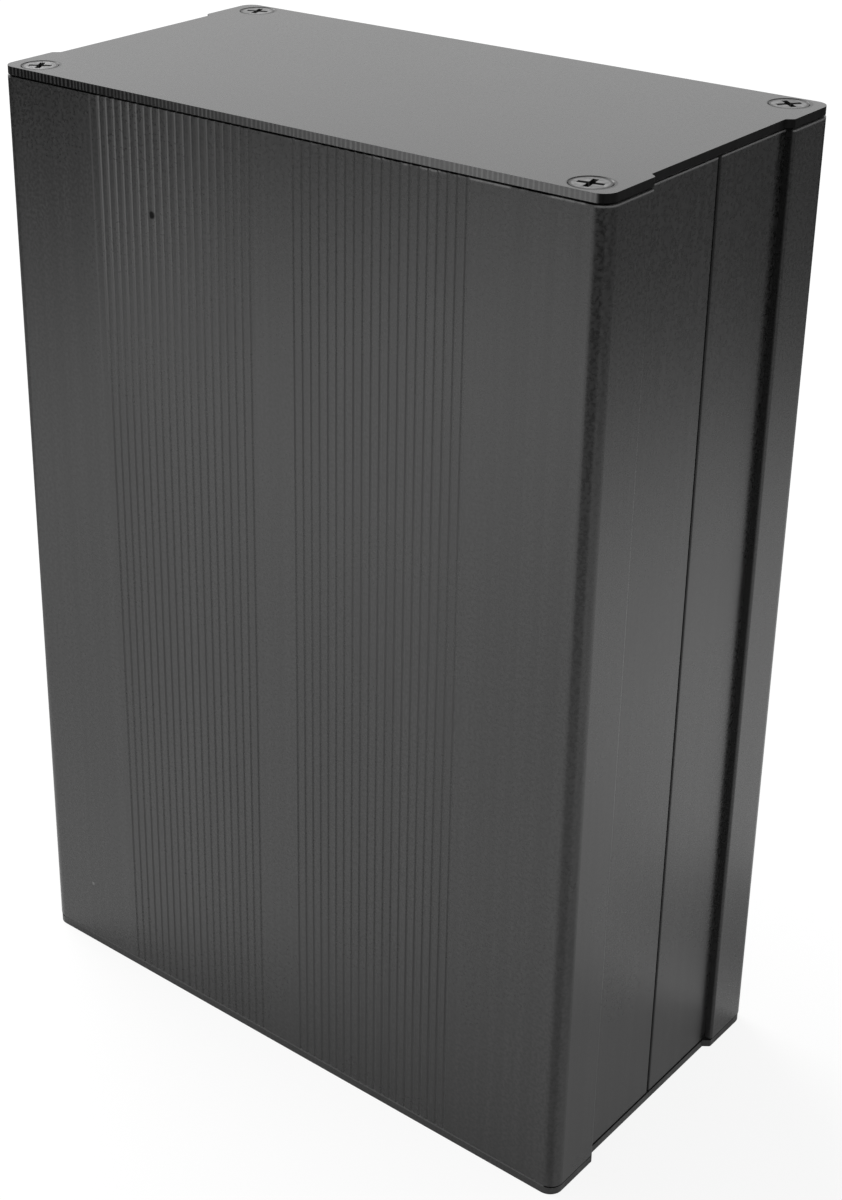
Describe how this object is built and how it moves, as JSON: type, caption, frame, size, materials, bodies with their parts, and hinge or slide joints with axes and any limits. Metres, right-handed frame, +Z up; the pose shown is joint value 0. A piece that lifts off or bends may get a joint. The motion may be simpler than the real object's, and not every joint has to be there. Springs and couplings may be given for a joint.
{
  "type": "extruded aluminium enclosure",
  "caption": "Split-body extruded aluminium enclosure: two ribbed halves with inner board slots, closed at both ends by flat plates with countersunk screws.",
  "frame": {"origin": "centre of the bottom end plate's outer face, which the enclosure stands on", "axes": "+Z up along the extrusion, X across the broad ribbed faces, -Y out of the front ribbed face"},
  "size_m": [0.106, 0.055, 0.153],
  "materials": {
    "body_anodised": "satin",
    "plate_anodised": "satin",
    "screw_black": "satin"
  },
  "bodies": {
    "root": {"front_shell": "body_anodised", "rear_shell": "body_anodised", "top_end_plate": "plate_anodised", "bottom_end_plate": "plate_anodised", "top_screw_front_left": "screw_black", "top_screw_front_right": "screw_black", "top_screw_rear_left": "screw_black", "top_screw_rear_right": "screw_black", "bottom_screw_front_left": "screw_black", "bottom_screw_front_right": "screw_black", "bottom_screw_rear_left": "screw_black", "bottom_screw_rear_right": "screw_black"}
  },
  "joints": []
}
